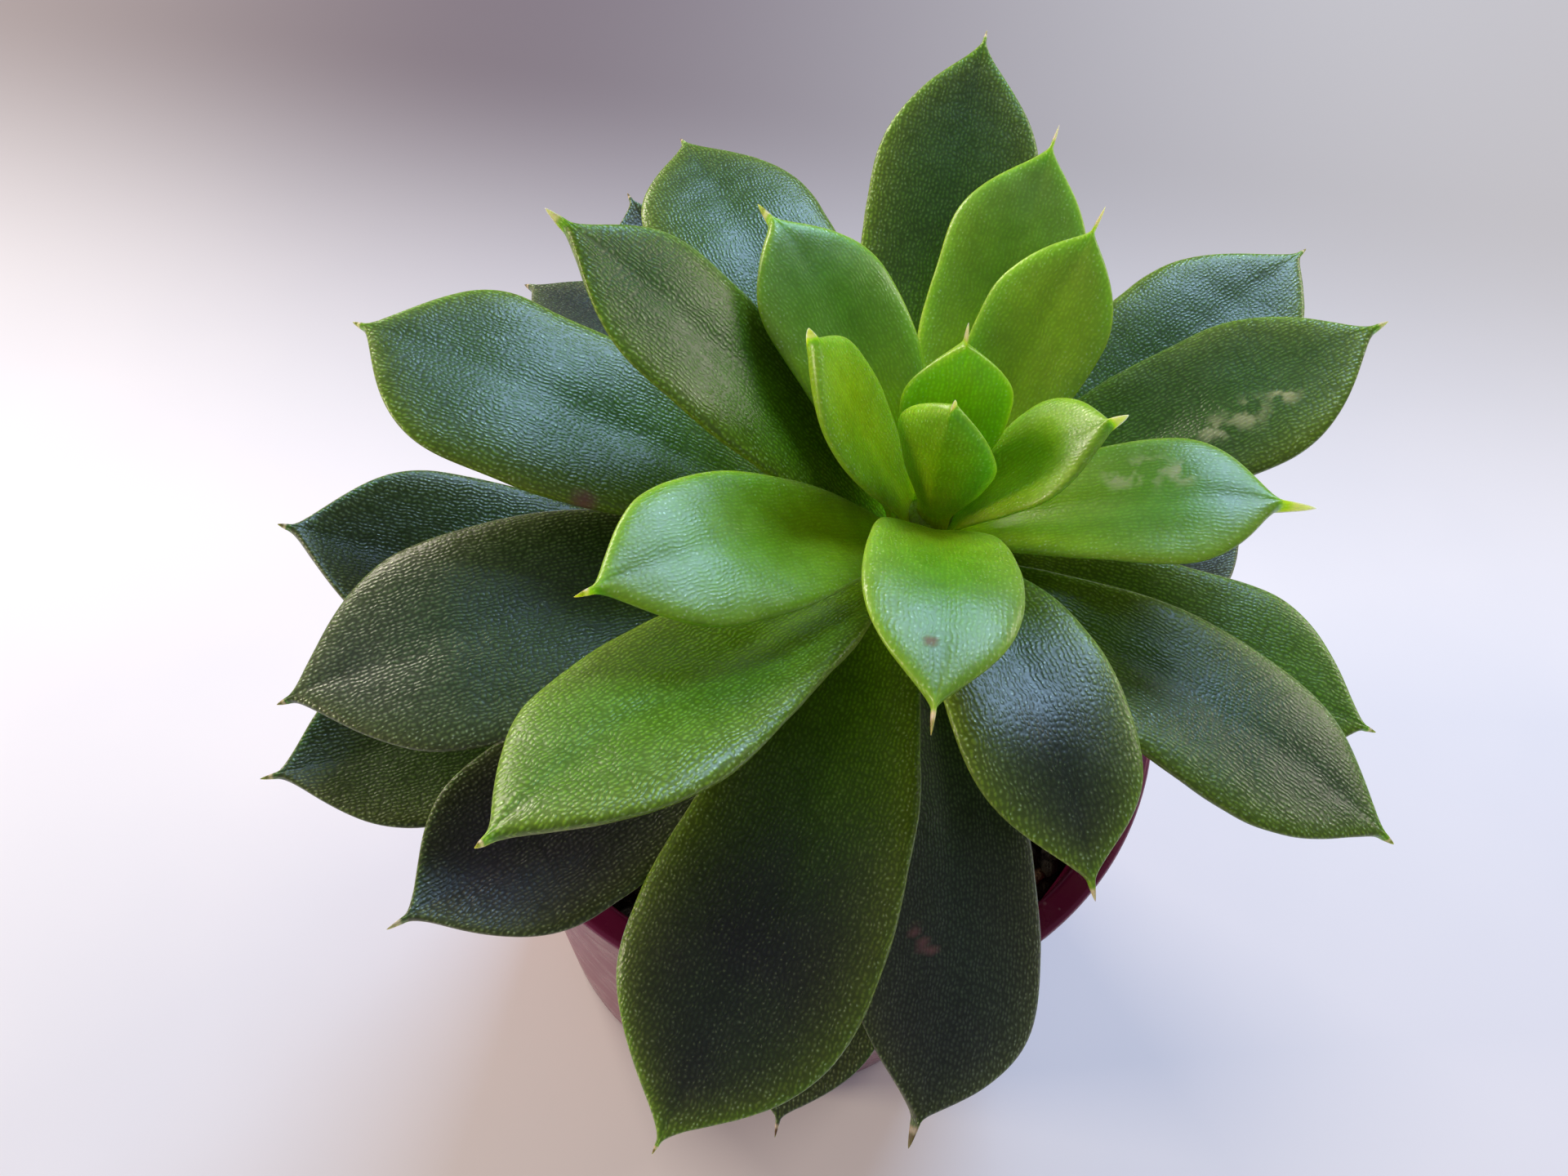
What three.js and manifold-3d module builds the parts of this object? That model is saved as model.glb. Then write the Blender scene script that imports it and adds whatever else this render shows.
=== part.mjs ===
// A young rosette succulent growing in a small round plastic nursery pot.
//
// Units are millimetres and degrees. +Z is up, and the origin is the centre of the pot's foot, on the
// surface that it stands on. The pot holds a potting mix, a short leaning stem grows out of the mix, and
// thirty-four fleshy leaves grow from the stem in a spiral. Leaf 1 is the youngest, at the stem's tip.
import * as THREE from "three";
import { mergeVertices } from "three/addons/utils/BufferGeometryUtils.js";
import Module from "manifold-3d";

// ---- Driving dimensions ----
const GAP = 0.35; // clearance between pieces that touch

const POT_HEIGHT = 58;
const RIM_RADIUS = 32.5;
const RIM_BAND = 6; // height of the thicker band below the lip
const LIP_WIDTH = 2.6; // flat top of the rim, from its outer edge to the mouth
const BAND_STEP = 1.1; // how far the band stands out from the wall below it
const BAND_TAPER = 0.4; // how much narrower the band is at its foot than at the lip
const EDGE_EASE = 0.5; // rounding of the edges of the lip and the foot
const FOOT_RADIUS = 28.5;
const WALL = 1.2;
const FOOT_WIDTH = 2.4; // of the ring that the pot stands on
const PAD_RADIUS = 8; // of the flat pad in the middle of the underside
const GROOVE_DEPTH = 1.2; // of the drain groove between the pad and the ring
const DRAIN_HOLES = 6;
const DRAIN_RADIUS = 2.6;
const DRAIN_CIRCLE = 15.5;
const DRAIN_SIDES = 16;
const POT_SIDES = 60;

const MIX_EDGE = 49; // height of the potting mix at the wall
const MIX_CROWN = 51; // and where it meets the stem
const MIX_SIDES = 36;

const STEM_FOOT = 40; // buried end of the stem
const STEM_TIP = 83.6;
const STEM_LEAN = 7; // how far the stem's tip stands to the +X side of its foot
const STEM_BOW = 1.3; // power of the way up by which it leans; 1 would be a straight lean
const STEM_RADIUS = 3.1;
const STEM_TIP_RADIUS = 0.9;
const STEM_FULLNESS = 4; // power of the way up by which it narrows; higher stays full for longer
const STEM_RINGS = 12;
const STEM_SIDES = 10;

const LEAF_RINGS = 13;
const LEAF_SIDES = 10;
const LEAF_BASE_WIDTH = 0.26; // width where the leaf joins the stem, as a share of its greatest width
const LEAF_THICKNESS = 0.22; // greatest thickness, as a share of the width
const LEAF_BASE_THICKNESS = 0.42; // thickness at the joint, as a share of the greatest
const THICKEST_FROM = 0.5; // share of the length from which the leaf has its greatest thickness
const THICKEST_TO = 0.55; // and from which it thins again
const THINNING = 2.2; // powers of the arch by which it thins
const THINNING_END = 0.8;
const LEAST_THICKNESS = 0.15;
const SWELL = 1.25; // power of the sine by which the leaf widens from the joint
const NARROWING = 2.15; // power of the arch by which it narrows to the foot of the point
const LEAF_CHANNEL = 0.12; // how far the margins stand above the middle, as a share of the half width
const UPPER_SHARE = 0.42; // share of the thickness above the leaf's middle surface
const POINT_LENGTH = 1.5; // the hard little point that ends each leaf
const POINT_RADIUS = 0.42;
const POINT_FROM = 0.6; // the point's core starts this share of the way from the widest place
const POINT_RISE = 0.3; // and reaches its full radius over this further share
const MIDRIB_STEPS = 60; // straight steps by which a midrib's arc is followed
const LAST_RING = 0.998; // share of the length at which the last ring stands

// Growth laws. Places on the spiral count down the stem from 0 at its tip, and each of these is the
// value at place 0 and the change from one place to the next.
const LEAF_TOP = 84; // height at which the topmost leaf leaves the stem
const LEAF_SPACING = 0.49;
const FIRST_HEADING = 238; // compass direction, anticlockwise from +X
const DIVERGENCE = 138.6; // turn from one leaf to the next, clockwise
const YOUNGEST_LENGTH = 14.5;
const LENGTH_STEP = 1.9;
const FULL_LENGTH = 45;
const YOUNGEST_WIDTH = 7.6;
const WIDTH_STEP = 0.5;
const FULL_WIDTH = 16;
const YOUNGEST_WIDEST = 0.58; // where along the leaf it is widest, as a share of its length
const WIDEST_STEP = 0.004;

// How each leaf stands: its place on the spiral, and its slope above the horizon at the joint and at
// the point. A leaf that grew askew also has the degrees that its heading departs from the spiral
// (lean), that its heading turns along it (turn) and that it is rolled (roll), its length and width as
// shares of what the growth laws give (long, broad), or a widest place of its own (widest). Places with
// no leaf have shed theirs.
const HABITS = [
  { place: 0, rise: 84, tipRise: 76, lean: 5, long: 1.05 },
  { place: 1, rise: 88, tipRise: 68, lean: 1, long: 0.92 },
  { place: 2, rise: 69, tipRise: 49, lean: 33, roll: 5, long: 0.92 },
  { place: 3, rise: 56, tipRise: 63, lean: -10, long: 0.92 },
  { place: 4, rise: 38, tipRise: 47, lean: 17, turn: 5, long: 1.12 },
  { place: 5, rise: 69, tipRise: -8, lean: 3, long: 1.22 },
  { place: 6, rise: 58, tipRise: 17, lean: 5, turn: 9, broad: 1.08 },
  { place: 7, rise: 41, tipRise: 6, lean: 9, long: 0.96 },
  { place: 8, rise: 45, tipRise: 4, lean: 9, roll: -5 },
  { place: 9, rise: 30, tipRise: 32, lean: 6, long: 1.05, broad: 0.92 },
  { place: 10, rise: 46, tipRise: -27, lean: 3, turn: -5, long: 0.96, broad: 0.95 },
  { place: 11, rise: 49, tipRise: 33, lean: 15, broad: 0.92 },
  { place: 12, rise: 22, tipRise: 31, lean: 9, roll: -6, broad: 1.03 },
  { place: 13, rise: 27, tipRise: 13, lean: -1, roll: 19, long: 1.07 },
  { place: 14, rise: 25, tipRise: 31, lean: -6, turn: -8, long: 1.05, broad: 0.93 },
  { place: 15, rise: 19, tipRise: -15, lean: 12, roll: -6, long: 0.92, broad: 0.92 },
  { place: 16, rise: 28, tipRise: 9, lean: -2, turn: -9, long: 0.96, broad: 1.04, widest: 0.72 },
  { place: 17, rise: 16, tipRise: 14, lean: -1, turn: 6, long: 0.98, broad: 0.92 },
  { place: 18, rise: 1, tipRise: -19, lean: -2, turn: -13, broad: 1.08 },
  { place: 19, rise: 28, tipRise: -5, lean: -3, long: 0.99 },
  { place: 20, rise: 1, tipRise: 1, lean: 4, turn: -8, roll: 9, long: 0.83 },
  { place: 21, rise: 24, tipRise: -10, lean: -2, turn: 5, long: 1.01, broad: 1.1 },
  { place: 22, rise: 8, tipRise: 14, long: 0.85, broad: 0.85 },
  { place: 23, rise: -15, tipRise: -12, lean: 8, turn: -42, roll: -24, long: 0.93, broad: 1.02 },
  { place: 24, rise: 31, tipRise: -15, lean: -10, turn: 11, roll: 17, long: 0.9, broad: 0.8 },
  { place: 25, rise: -8, tipRise: 0, lean: 7, roll: -10, long: 0.74, broad: 0.85 },
  { place: 26, rise: -5, tipRise: 10, lean: -4, turn: -5, long: 0.97, broad: 0.94 },
  { place: 27, rise: 0, tipRise: 10, long: 0.82, broad: 0.85 },
  { place: 29, rise: -1, tipRise: 26, lean: 12, turn: -3 },
  { place: 30, rise: -13, tipRise: 8, lean: 9, long: 0.82, broad: 0.85 },
  { place: 31, rise: -11, tipRise: -23, lean: 6, long: 0.9, broad: 0.86 },
  { place: 32, rise: 8, tipRise: 19, lean: 4, long: 0.97, broad: 0.85 },
  { place: 33, rise: -10, tipRise: 6, lean: 8, long: 0.66, broad: 0.8 },
  { place: 34, rise: -4, tipRise: 13, lean: 4, long: 1.04, broad: 0.95 },
];

// Places on the spiral at which a leaf counts as grown, and as old.
const GROWN_PLACE = 10;
const OLD_PLACE = 21;

// ---- Helpers ----
const wasm = await Module();
wasm.setup();

const radians = THREE.MathUtils.degToRad;
const clamp01 = (x) => Math.min(1, Math.max(0, x));

// A closed solid skinned over rings of points that all have the same number of points, with a fan at
// each end.
function loft(rings) {
  const sides = rings[0].length;
  const points = rings.flat();
  const index = [];
  for (let i = 0; i + 1 < rings.length; i++) {
    for (let j = 0; j < sides; j++) {
      const a = i * sides + j;
      const b = i * sides + ((j + 1) % sides);
      index.push(a, b, b + sides, a, b + sides, a + sides);
    }
  }
  const centreOf = (ring) =>
    ring.reduce((sum, p) => sum.add(p), new THREE.Vector3()).divideScalar(sides);
  const first = points.push(centreOf(rings[0])) - 1;
  const last = points.push(centreOf(rings[rings.length - 1])) - 1;
  const lastRing = (rings.length - 1) * sides;
  for (let j = 0; j < sides; j++) {
    const k = (j + 1) % sides;
    index.push(first, k, j, last, lastRing + j, lastRing + k);
  }
  return new THREE.BufferGeometry().setFromPoints(points).setIndex(index);
}

function toSolid(geometry) {
  const bare = geometry.clone();
  bare.deleteAttribute("normal");
  bare.deleteAttribute("uv");
  const merged = mergeVertices(bare);
  return new wasm.Manifold(
    new wasm.Mesh({
      numProp: 3,
      vertProperties: merged.attributes.position.array,
      triVerts: new Uint32Array(merged.index.array),
    }),
  );
}

function toGeometry(solid) {
  const { vertProperties, triVerts } = solid.getMesh();
  return new THREE.BufferGeometry()
    .setAttribute("position", new THREE.BufferAttribute(vertProperties, 3))
    .setIndex(new THREE.BufferAttribute(triVerts, 1));
}

function lathe(profile, sides) {
  const points = profile.map(([r, z]) => new THREE.Vector2(r, z));
  return new THREE.LatheGeometry(points, sides).rotateX(Math.PI / 2);
}

function piece(name, geometry, material) {
  const mesh = new THREE.Mesh(geometry, material);
  mesh.name = name;
  return mesh;
}

// ---- Materials ----
const potPlastic = new THREE.MeshStandardMaterial({ color: 0x5e1230, roughness: 0.25, metalness: 0 });
const mixMaterial = new THREE.MeshStandardMaterial({ color: 0x2e2118, roughness: 0.95, metalness: 0 });
const stemMaterial = new THREE.MeshStandardMaterial({ color: 0x6f7f4a, roughness: 0.7, metalness: 0 });
const youngLeaf = new THREE.MeshStandardMaterial({ color: 0x6f9a2c, roughness: 0.4, metalness: 0 });
const grownLeaf = new THREE.MeshStandardMaterial({ color: 0x4c7a35, roughness: 0.4, metalness: 0 });
const oldLeaf = new THREE.MeshStandardMaterial({ color: 0x36493a, roughness: 0.45, metalness: 0 });

// ---- Pot ----
const bandFoot = POT_HEIGHT - RIM_BAND;
const bandRadius = RIM_RADIUS - BAND_TAPER;
const mouthRadius = RIM_RADIUS - LIP_WIDTH;
const shoulderRadius = bandRadius - BAND_STEP;
const floorTop = GROOVE_DEPTH + WALL;
// Radius of the outside of the tapering wall, and of its inside, at a height.
const outerWall = (z) => FOOT_RADIUS + ((shoulderRadius - FOOT_RADIUS) * z) / bandFoot;
const innerWall = (z) => Math.min(outerWall(z) - WALL, mouthRadius);

function potGeometry() {
  const footInside = FOOT_RADIUS - FOOT_WIDTH;
  const profile = [
    [0, 0],
    [PAD_RADIUS, 0],
    [PAD_RADIUS + GROOVE_DEPTH / 2, GROOVE_DEPTH],
    [footInside - GROOVE_DEPTH / 2, GROOVE_DEPTH],
    [footInside, 0],
    [FOOT_RADIUS - EDGE_EASE, 0],
    [outerWall(EDGE_EASE), EDGE_EASE],
    [shoulderRadius, bandFoot],
    [bandRadius, bandFoot + BAND_STEP / 2],
    [RIM_RADIUS, POT_HEIGHT - EDGE_EASE],
    [RIM_RADIUS - EDGE_EASE, POT_HEIGHT],
    [mouthRadius + EDGE_EASE, POT_HEIGHT],
    [mouthRadius, POT_HEIGHT - EDGE_EASE],
    [innerWall(bandFoot), bandFoot],
    [innerWall(floorTop), floorTop],
    [0, floorTop],
  ];
  const shell = toSolid(lathe(profile, POT_SIDES));
  const drill = new THREE.CylinderGeometry(DRAIN_RADIUS, DRAIN_RADIUS, 3 * floorTop, DRAIN_SIDES);
  drill.rotateX(Math.PI / 2);
  return toGeometry(
    Array.from({ length: DRAIN_HOLES }, (_, i) => {
      const angle = (2 * Math.PI * i) / DRAIN_HOLES;
      const hole = drill.clone();
      hole.translate(DRAIN_CIRCLE * Math.cos(angle), DRAIN_CIRCLE * Math.sin(angle), floorTop);
      return toSolid(hole);
    }).reduce((solid, hole) => solid.subtract(hole), shell),
  );
}

// ---- Potting mix, with a socket for the buried end of the stem ----
function mixGeometry() {
  const bottom = floorTop + GAP;
  const socket = STEM_RADIUS + GAP;
  return lathe(
    [
      [0, bottom],
      [innerWall(bottom) - GAP, bottom],
      [innerWall(MIX_EDGE) - GAP, MIX_EDGE],
      [socket, MIX_CROWN],
      [socket, STEM_FOOT - GAP],
      [0, STEM_FOOT - GAP],
    ],
    MIX_SIDES,
  );
}

// ---- Stem ----
// How far up the free part of the stem a height is, from 0 at the mix to 1 at the tip.
const alongStem = (z) => Math.max(0, (z - MIX_CROWN) / (STEM_TIP - MIX_CROWN));
const stemCentre = (z) => new THREE.Vector3(STEM_LEAN * alongStem(z) ** STEM_BOW, 0, z);
// Full width for the lower half, then tapering to the tip.
const stemRadius = (z) => {
  const arch = Math.sqrt(clamp01(1 - alongStem(z) ** STEM_FULLNESS));
  return STEM_TIP_RADIUS + (STEM_RADIUS - STEM_TIP_RADIUS) * arch;
};

function stemGeometry() {
  const rings = Array.from({ length: STEM_RINGS }, (_, i) => {
    // Rings are closer together towards the tip, where the taper is.
    const z = STEM_FOOT + (STEM_TIP - STEM_FOOT) * Math.sin((Math.PI / 2) * (i / (STEM_RINGS - 1)));
    const centre = stemCentre(z);
    return Array.from({ length: STEM_SIDES }, (_, j) => {
      const angle = (2 * Math.PI * j) / STEM_SIDES;
      const radius = stemRadius(z);
      return new THREE.Vector3(radius * Math.cos(angle), radius * Math.sin(angle), 0).add(centre);
    });
  });
  return loft(rings);
}

// ---- Leaves ----
// A leaf's size and place, from the growth laws and its own habit.
function growLeaf(habit) {
  const { place, rise, tipRise, lean = 0, turn = 0, roll = 0, long = 1, broad = 1 } = habit;
  const { widest = YOUNGEST_WIDEST + WIDEST_STEP * place } = habit;
  return {
    rise,
    tipRise,
    turn,
    roll,
    widest,
    height: LEAF_TOP - LEAF_SPACING * place,
    heading: FIRST_HEADING - DIVERGENCE * place + lean,
    length: long * Math.min(FULL_LENGTH, YOUNGEST_LENGTH + LENGTH_STEP * place),
    width: broad * Math.min(FULL_WIDTH, YOUNGEST_WIDTH + WIDTH_STEP * place),
  };
}

// Half width at a share t of the length: it swells from the joint to the widest place, narrows along an
// arch to the foot of the point, and ends in that thin point.
function leafHalfWidth(leaf, t) {
  const { length, width, widest } = leaf;
  if (t <= widest) {
    const swell = Math.sin((Math.PI / 2) * (t / widest)) ** SWELL;
    return (width / 2) * (LEAF_BASE_WIDTH + (1 - LEAF_BASE_WIDTH) * swell);
  }
  const s = (t - widest) / (1 - widest);
  const bladeEnd = 1 - POINT_LENGTH / (length * (1 - widest));
  const blade = (width / 2) * Math.max(0, 1 - (s / bladeEnd) ** NARROWING);
  const core = clamp01((1 - s) / (1 - bladeEnd)) * clamp01((s - POINT_FROM) / POINT_RISE);
  return Math.hypot(blade, POINT_RADIUS * core);
}

// Full thickness: thin at the joint, full from halfway along, and thinning to the point.
function leafThickness(leaf, t) {
  const filling = Math.sin((Math.PI / 2) * clamp01(t / THICKEST_FROM));
  const fill = LEAF_BASE_THICKNESS + (1 - LEAF_BASE_THICKNESS) * filling;
  const thinning = clamp01((t - THICKEST_TO) / (1 - THICKEST_TO)) ** THINNING;
  return LEAF_THICKNESS * leaf.width * fill * (1 - thinning) ** THINNING_END + LEAST_THICKNESS;
}

// The leaf's midrib is an arc: its slope and heading change evenly along it. Returns, at each of the
// given shares of the length, the point and the frame there: along, to the left, and upper face.
function leafFrames(leaf, shares) {
  const directionAt = (t) => {
    const rise = radians(leaf.rise + (leaf.tipRise - leaf.rise) * t);
    const heading = radians(leaf.heading + leaf.turn * t);
    return new THREE.Vector3(
      Math.cos(rise) * Math.cos(heading),
      Math.cos(rise) * Math.sin(heading),
      Math.sin(rise),
    );
  };
  const heading = radians(leaf.heading);
  const halfBase = 0.5 * leafThickness(leaf, 0) * Math.abs(Math.sin(radians(leaf.rise)));
  const reach = stemRadius(leaf.height) + GAP + halfBase;
  const point = stemCentre(leaf.height).add(
    new THREE.Vector3(Math.cos(heading), Math.sin(heading), 0).multiplyScalar(reach),
  );
  const path = [point.clone()];
  for (let i = 0; i < MIDRIB_STEPS; i++) {
    point.addScaledVector(directionAt((i + 0.5) / MIDRIB_STEPS), leaf.length / MIDRIB_STEPS);
    path.push(point.clone());
  }
  return shares.map((t) => {
    const k = Math.min(MIDRIB_STEPS - 1, Math.floor(t * MIDRIB_STEPS));
    const at = path[k].clone().lerp(path[k + 1], t * MIDRIB_STEPS - k);
    const along = directionAt(t);
    const turned = radians(leaf.heading + leaf.turn * t);
    const left = new THREE.Vector3(-Math.sin(turned), Math.cos(turned), 0);
    const face = along.clone().cross(left);
    left.applyAxisAngle(along, radians(leaf.roll));
    face.applyAxisAngle(along, radians(leaf.roll));
    return { t, at, left, face };
  });
}

function leafGeometry(leaf) {
  // Rings are closer together towards the joint and the point.
  const shares = Array.from({ length: LEAF_RINGS }, (_, i) => {
    const evenly = i / (LEAF_RINGS - 1);
    return (LAST_RING * (1 - Math.cos(Math.PI * evenly))) / 2;
  });
  const rings = leafFrames(leaf, shares).map(({ t, at, left, face }) => {
    const half = leafHalfWidth(leaf, t);
    const thick = leafThickness(leaf, t);
    return Array.from({ length: LEAF_SIDES }, (_, j) => {
      const angle = (2 * Math.PI * j) / LEAF_SIDES;
      const across = Math.cos(angle);
      const up = Math.sin(angle);
      const share = up > 0 ? UPPER_SHARE : 1 - UPPER_SHARE;
      const lift = LEAF_CHANNEL * half * (2 * across ** 2 - 1) + thick * share * up;
      return at.clone().addScaledVector(left, half * across).addScaledVector(face, lift);
    });
  });
  return loft(rings);
}

function leafMaterial(place) {
  if (place < GROWN_PLACE) return youngLeaf;
  return place < OLD_PLACE ? grownLeaf : oldLeaf;
}

// ---- Assembly ----
const plant = new THREE.Group();
plant.add(piece("pot", potGeometry(), potPlastic));
plant.add(piece("potting_mix", mixGeometry(), mixMaterial));
plant.add(piece("stem", stemGeometry(), stemMaterial));
HABITS.forEach((habit, i) => {
  const number = String(i + 1).padStart(2, "0");
  plant.add(piece(`leaf_${number}`, leafGeometry(growLeaf(habit)), leafMaterial(habit.place)));
});

export default plant;
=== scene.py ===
import math

import bmesh
import bpy
import numpy as np
from mathutils import Matrix, Vector


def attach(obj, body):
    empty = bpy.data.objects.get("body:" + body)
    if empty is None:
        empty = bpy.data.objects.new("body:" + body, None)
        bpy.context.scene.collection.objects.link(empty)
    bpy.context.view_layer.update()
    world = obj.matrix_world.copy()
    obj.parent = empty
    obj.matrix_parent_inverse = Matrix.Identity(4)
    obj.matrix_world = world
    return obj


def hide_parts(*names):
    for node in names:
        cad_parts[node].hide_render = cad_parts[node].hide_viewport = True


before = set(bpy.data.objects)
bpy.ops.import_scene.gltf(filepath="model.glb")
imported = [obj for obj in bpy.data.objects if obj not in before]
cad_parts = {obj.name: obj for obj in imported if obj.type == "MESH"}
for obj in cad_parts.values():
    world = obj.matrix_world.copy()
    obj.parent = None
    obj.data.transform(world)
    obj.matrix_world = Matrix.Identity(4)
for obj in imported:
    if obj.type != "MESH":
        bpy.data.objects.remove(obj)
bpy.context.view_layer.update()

MM = 0.001  # one millimetre, in metres
BODY = "root"

# ---- The pot, mix and stem, in millimetres ----
POT_HEIGHT = 58.0
RIM_RADIUS = 32.5
RIM_BAND = 6.0
LIP_WIDTH = 2.6
BAND_STEP = 1.1
BAND_TAPER = 0.4
FOOT_RADIUS = 28.5
FOOT_WIDTH = 2.4
PAD_RADIUS = 8.0
GROOVE_DEPTH = 1.2
WALL = 1.2
DRAIN_HOLES = 6
DRAIN_RADIUS = 2.6
DRAIN_CIRCLE = 15.5

MIX_EDGE = 49.0
MIX_CROWN = 51.0
MIX_SINK = 0.3  # how far the fine mix lies below those, to leave room for its lumps
LUMP_UNEVENNESS = 0.168  # as a share of a lump's size

STEM_FOOT = 40.0
STEM_TIP = 83.6
STEM_LEAN = 7.0
STEM_RADIUS = 3.1
STEM_TIP_RADIUS = 0.9
STEM_BOW = 1.3
SCAR_RIDGE = 0.32
SCAR_DENT = 0.14
SCARS_BELOW = 36  # scars of shed leaves below the oldest leaf

# ---- How leaves grow ----
# Places on the spiral count down the stem from 0 at its tip.
LEAF_TOP = 84.0
LEAF_SPACING = 0.49
FIRST_HEADING = 238.0
DIVERGENCE = 138.6
YOUNGEST_LENGTH = 14.5
LENGTH_STEP = 1.9
FULL_LENGTH = 45.0
YOUNGEST_WIDTH = 7.6
WIDTH_STEP = 0.5
FULL_WIDTH = 16.0
YOUNGEST_WIDEST = 0.58
WIDEST_STEP = 0.004
OLDEST_PLACE = 34
SHED_PLACE = 28  # the one leaf that has dropped from among the living ones
ROSETTE_HEIGHT = 70.0  # about the middle of the rosette, which the lights face
GROWN_PLACE = 10  # from this place on a leaf counts as grown
OLD_PLACE = 21  # and from this one as old

LEAF_THICKNESS = 0.23  # greatest thickness, as a share of the width
BASE_CHANNEL = 0.12  # how far the margins stand above the middle near the joint, in half widths
BLADE_CHANNEL = 0.035  # the same, in the outer half of a young leaf
END_CHANNEL = 0.03  # and how much higher they stand at the point
UPPER_SHARE = 0.42  # share of the thickness above the leaf's middle surface
UPPER_FLATNESS = 2.4  # power of the section's outline: 2 is an ellipse, and more is flatter
LOWER_FLATNESS = 2.0
GROOVE = 0.04  # depth of the groove above the midrib, as a share of the thickness
KEEL = 0.12  # the same of the keel below it
KEEL_FADING = 0.04  # and how much less that is on the oldest leaf
WAVES, WAVE_SIZE = 0.08, 9.0  # depth and length of the skin's slow waves
DIMPLES, DIMPLE_SIZE = 0.015, 3.0  # and of its finer dimples
POINT_RADIUS = 0.17
BREADTH = 1.03  # width of the skin over the growth law's
JOINT_SHARE = 0.38  # half width at the joint of the youngest leaf, as a share of the greatest
JOINT_NARROWING = 0.12  # how much less that is on the oldest
SWELL = 1.25  # power of the sine by which a leaf widens from the joint
POINTED_FULLNESS = 1.8  # power of the arch by which the youngest leaf narrows to its point
FULLNESS_GAIN = 1.2  # how much fuller that is from the eighth leaf on
JOINT_THICKNESS = 0.42  # thickness at the joint, as a share of the greatest
THICKEST_AT = 0.5  # share of the length where the leaf is thickest
THINNING = 2.4  # powers of the arch by which it thins from there
THINNING_END = 0.7
MARGIN_FALLOFF = 1.8  # how far in from the margin its paler colour and painted glow reach
SKIN_SHIFT = 53.0  # how far each leaf's skin pattern starts from the last one's
JOINT_GAP = 0.35  # from the stem to where a leaf's length is counted from
LEAF_INSET = 2.4  # how far the leaf runs on inside the stem

LEAF_RINGS = 120
LEAF_SIDES = 56

# The skin's tiny cells, and how far red, green and blue light goes in green flesh, as shares.
PAPILLA_PITCH = 0.33
PAPILLA_HEIGHT = 0.03
ROW_START_SPREAD = 9.0
FLESH_REACH = (0.55, 1.0, 0.1)

# How each leaf stands, as in the frame: its place, its slope at the joint and at the point, and where
# it grew askew its lean, turn and roll in degrees, its length and width as shares of what is usual at
# its place, and its widest place.
HABITS = [
    dict(place=0, rise=84, tip_rise=76, lean=5, long=1.05),
    dict(place=1, rise=88, tip_rise=68, lean=1, long=0.92),
    dict(place=2, rise=69, tip_rise=49, lean=33, roll=5, long=0.92),
    dict(place=3, rise=56, tip_rise=63, lean=-10, long=0.92),
    dict(place=4, rise=38, tip_rise=47, lean=17, turn=5, long=1.12),
    dict(place=5, rise=69, tip_rise=-8, lean=3, long=1.22),
    dict(place=6, rise=58, tip_rise=17, lean=5, turn=9, broad=1.08),
    dict(place=7, rise=41, tip_rise=6, lean=9, long=0.96),
    dict(place=8, rise=45, tip_rise=4, lean=9, roll=-5),
    dict(place=9, rise=30, tip_rise=32, lean=6, long=1.05, broad=0.92),
    dict(place=10, rise=46, tip_rise=-27, lean=3, turn=-5, long=0.96, broad=0.95),
    dict(place=11, rise=49, tip_rise=33, lean=15, broad=0.92),
    dict(place=12, rise=22, tip_rise=31, lean=9, roll=-6, broad=1.03),
    dict(place=13, rise=27, tip_rise=13, lean=-1, roll=19, long=1.07),
    dict(place=14, rise=25, tip_rise=31, lean=-6, turn=-8, long=1.05, broad=0.93),
    dict(place=15, rise=19, tip_rise=-15, lean=12, roll=-6, long=0.92, broad=0.92),
    dict(place=16, rise=28, tip_rise=9, lean=-2, turn=-9, long=0.96, broad=1.04, widest=0.72),
    dict(place=17, rise=16, tip_rise=14, lean=-1, turn=6, long=0.98, broad=0.92),
    dict(place=18, rise=1, tip_rise=-19, lean=-2, turn=-13, broad=1.08),
    dict(place=19, rise=28, tip_rise=-5, lean=-3, long=0.99),
    dict(place=20, rise=1, tip_rise=1, lean=4, turn=-8, roll=9, long=0.83),
    dict(place=21, rise=24, tip_rise=-10, lean=-2, turn=5, long=1.01, broad=1.1),
    dict(place=22, rise=8, tip_rise=14, long=0.85, broad=0.85),
    dict(place=23, rise=-15, tip_rise=-12, lean=8, turn=-42, roll=-24, long=0.93, broad=1.02),
    dict(place=24, rise=31, tip_rise=-15, lean=-10, turn=11, roll=17, long=0.9, broad=0.8),
    dict(place=25, rise=-8, tip_rise=0, lean=7, roll=-10, long=0.74, broad=0.85),
    dict(place=26, rise=-5, tip_rise=10, lean=-4, turn=-5, long=0.97, broad=0.94),
    dict(place=27, rise=0, tip_rise=10, long=0.82, broad=0.85),
    dict(place=29, rise=-1, tip_rise=26, lean=12, turn=-3),
    dict(place=30, rise=-13, tip_rise=8, lean=9, long=0.82, broad=0.85),
    dict(place=31, rise=-11, tip_rise=-23, lean=6, long=0.9, broad=0.86),
    dict(place=32, rise=8, tip_rise=19, lean=4, long=0.97, broad=0.85),
    dict(place=33, rise=-10, tip_rise=6, lean=8, long=0.66, broad=0.8),
    dict(place=34, rise=-4, tip_rise=13, lean=4, long=1.04, broad=0.95),
]

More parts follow.
